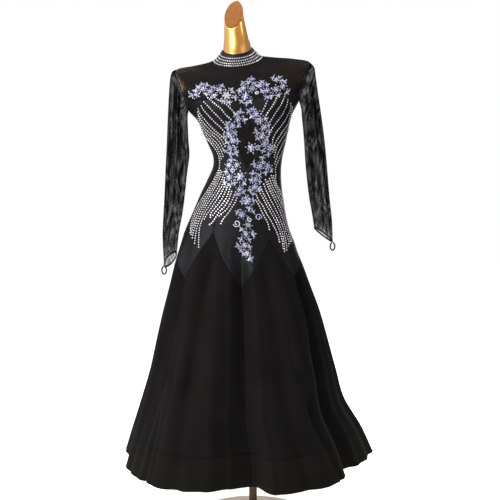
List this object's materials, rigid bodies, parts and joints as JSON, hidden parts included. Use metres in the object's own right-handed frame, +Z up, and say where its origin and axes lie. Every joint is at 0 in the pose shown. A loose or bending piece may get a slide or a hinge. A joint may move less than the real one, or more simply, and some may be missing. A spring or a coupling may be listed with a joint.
{
  "type": "flamenco style ballroom dress on a limbless dress form",
  "caption": "Long-sleeved black gown with a sheer yoke, stone-set collar, lace and flared godet skirt, worn by a gold dress form on a round stand.",
  "frame": {"origin": "middle of the stand's underside, on the floor", "axes": "+Z up, the dress faces -Y, +X is the left hand of a person who wears it"},
  "size_m": [0.8525, 0.7976, 1.7117],
  "materials": {
    "stretch_jersey": "dull black stretch jersey with a faint blue sheen",
    "sheer_mesh": "sheer black stretch net",
    "skirt_crepe": "matte black crepe",
    "hem_braid": "matte black crepe over stiff braid",
    "elastic": "matte black elastic",
    "studded_collar": "black band set with rows of clear stones",
    "lace": "corded lavender-blue lace",
    "crystal": "foil-backed clear glass stones",
    "gold_form": "gloss gold lacquer",
    "gold_cap": "satin gold-brown",
    "stand_metal": "dark bronze lacquer"
  },
  "bodies": {
    "root": {"front_left": "stretch_jersey", "front_right": "stretch_jersey", "side_front_left": "stretch_jersey", "side_front_right": "stretch_jersey", "side_back_left": "stretch_jersey", "side_back_right": "stretch_jersey", "back_left": "stretch_jersey", "back_right": "stretch_jersey", "keyhole_insert": "sheer_mesh", "yoke_front": "sheer_mesh", "yoke_back": "sheer_mesh", "collar": "studded_collar", "godet_front_right": "skirt_crepe", "godet_side_right": "skirt_crepe", "godet_back_right": "skirt_crepe", "godet_back_left": "skirt_crepe", "godet_side_left": "skirt_crepe", "godet_front_left": "skirt_crepe", "hem_band_front_right": "hem_braid", "hem_band_side_right": "hem_braid", "hem_band_back_right": "hem_braid", "hem_band_back_left": "hem_braid", "hem_band_side_left": "hem_braid", "hem_band_front_left": "hem_braid", "sleeve_left": "sheer_mesh", "cuff_left": "elastic", "finger_loop_left": "elastic", "sleeve_right": "sheer_mesh", "cuff_right": "elastic", "finger_loop_right": "elastic", "lace_neckline_left": "lace", "lace_neckline_right": "lace", "lace_column_left": "lace", "lace_column_right": "lace", "lace_tail": "lace", "form_torso": "gold_form", "neck_cap": "gold_cap", "pole": "stand_metal", "pole_socket": "stand_metal", "base_hub": "stand_metal", "base_plate": "stand_metal"}
  },
  "joints": []
}
